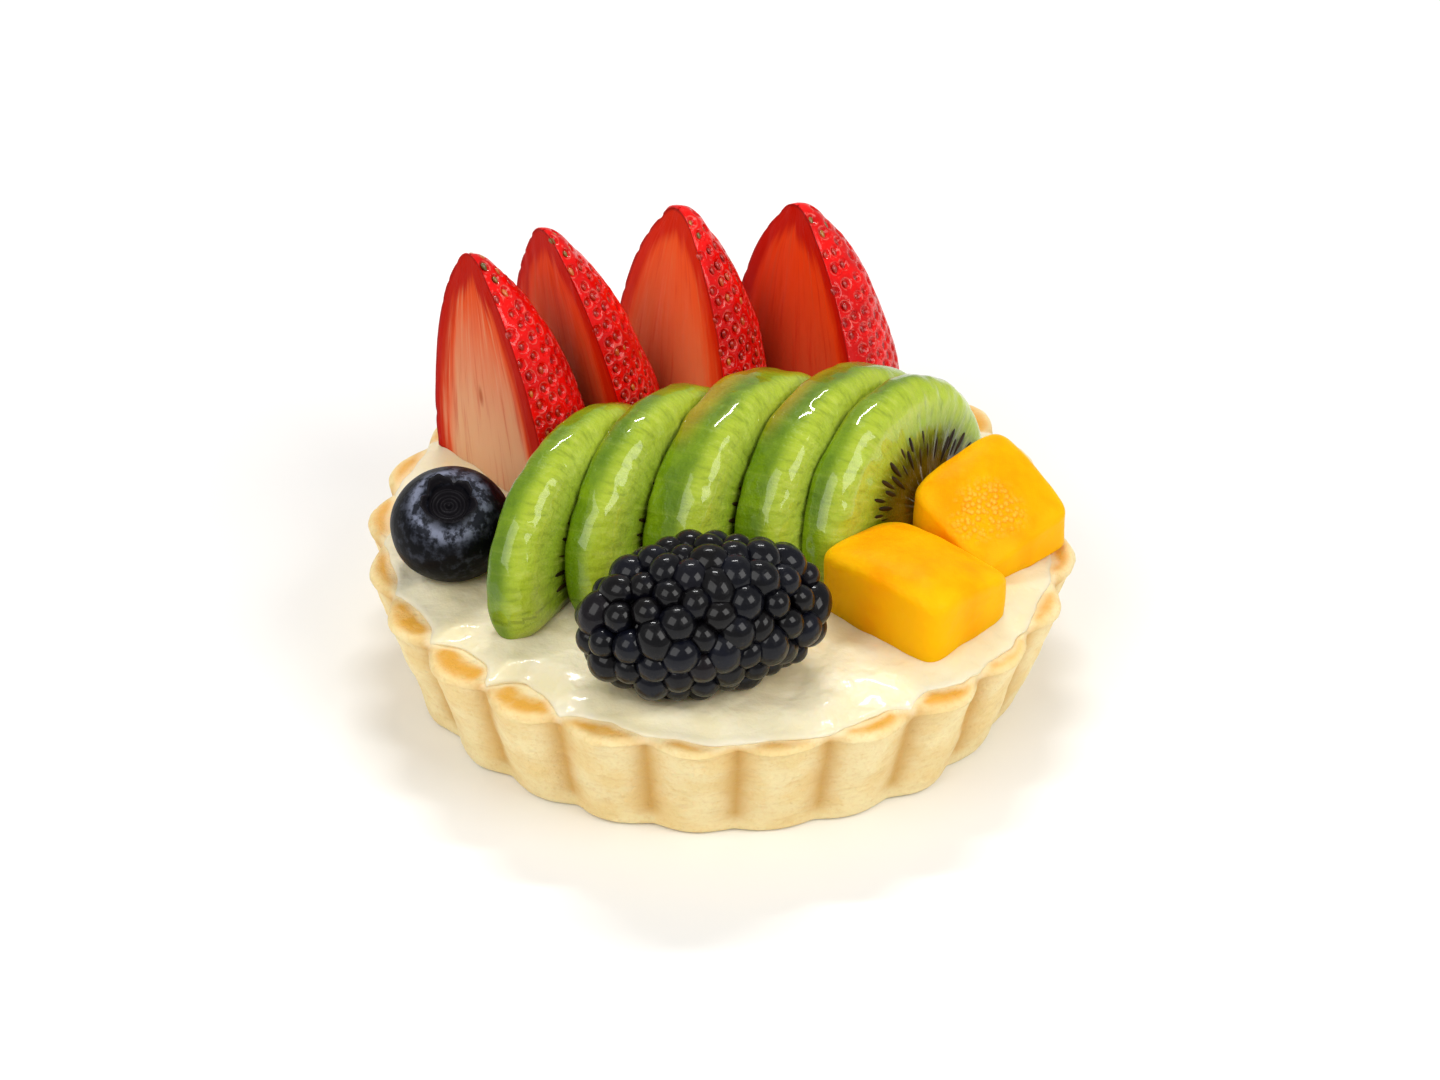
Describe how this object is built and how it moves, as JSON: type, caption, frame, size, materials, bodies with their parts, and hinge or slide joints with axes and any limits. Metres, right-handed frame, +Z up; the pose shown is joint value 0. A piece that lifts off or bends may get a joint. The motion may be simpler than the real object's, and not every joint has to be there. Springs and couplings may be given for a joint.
{
  "type": "fruit tart",
  "caption": "Small fluted shortcrust tart filled with pale custard cream and topped with strawberry halves, leaning kiwi slices, peach cubes, a bramble and a blueberry.",
  "frame": {"origin": "middle of the pastry case on the surface it stands on, under the centre of its bounding box", "axes": "+Z is up. -Y is the front, where the bramble lies. +X is the right-hand side, where the peach cubes are, and the strawberry halves stand at the back, towards +Y."},
  "size_m": [0.087, 0.087, 0.0486],
  "materials": {
    "pastry": "matte",
    "custard_cream": "satin",
    "strawberry": "gloss",
    "kiwi": "gloss",
    "peach": "gloss",
    "bramble": "gloss",
    "blueberry": "satin"
  },
  "bodies": {
    "root": {"crust": "pastry", "cream": "custard_cream", "strawberry_1": "strawberry", "strawberry_2": "strawberry", "strawberry_3": "strawberry", "strawberry_4": "strawberry", "kiwi_1": "kiwi", "kiwi_2": "kiwi", "kiwi_3": "kiwi", "kiwi_4": "kiwi", "kiwi_5": "kiwi", "peach_1": "peach", "peach_2": "peach", "bramble": "bramble", "blueberry": "blueberry"}
  },
  "joints": []
}
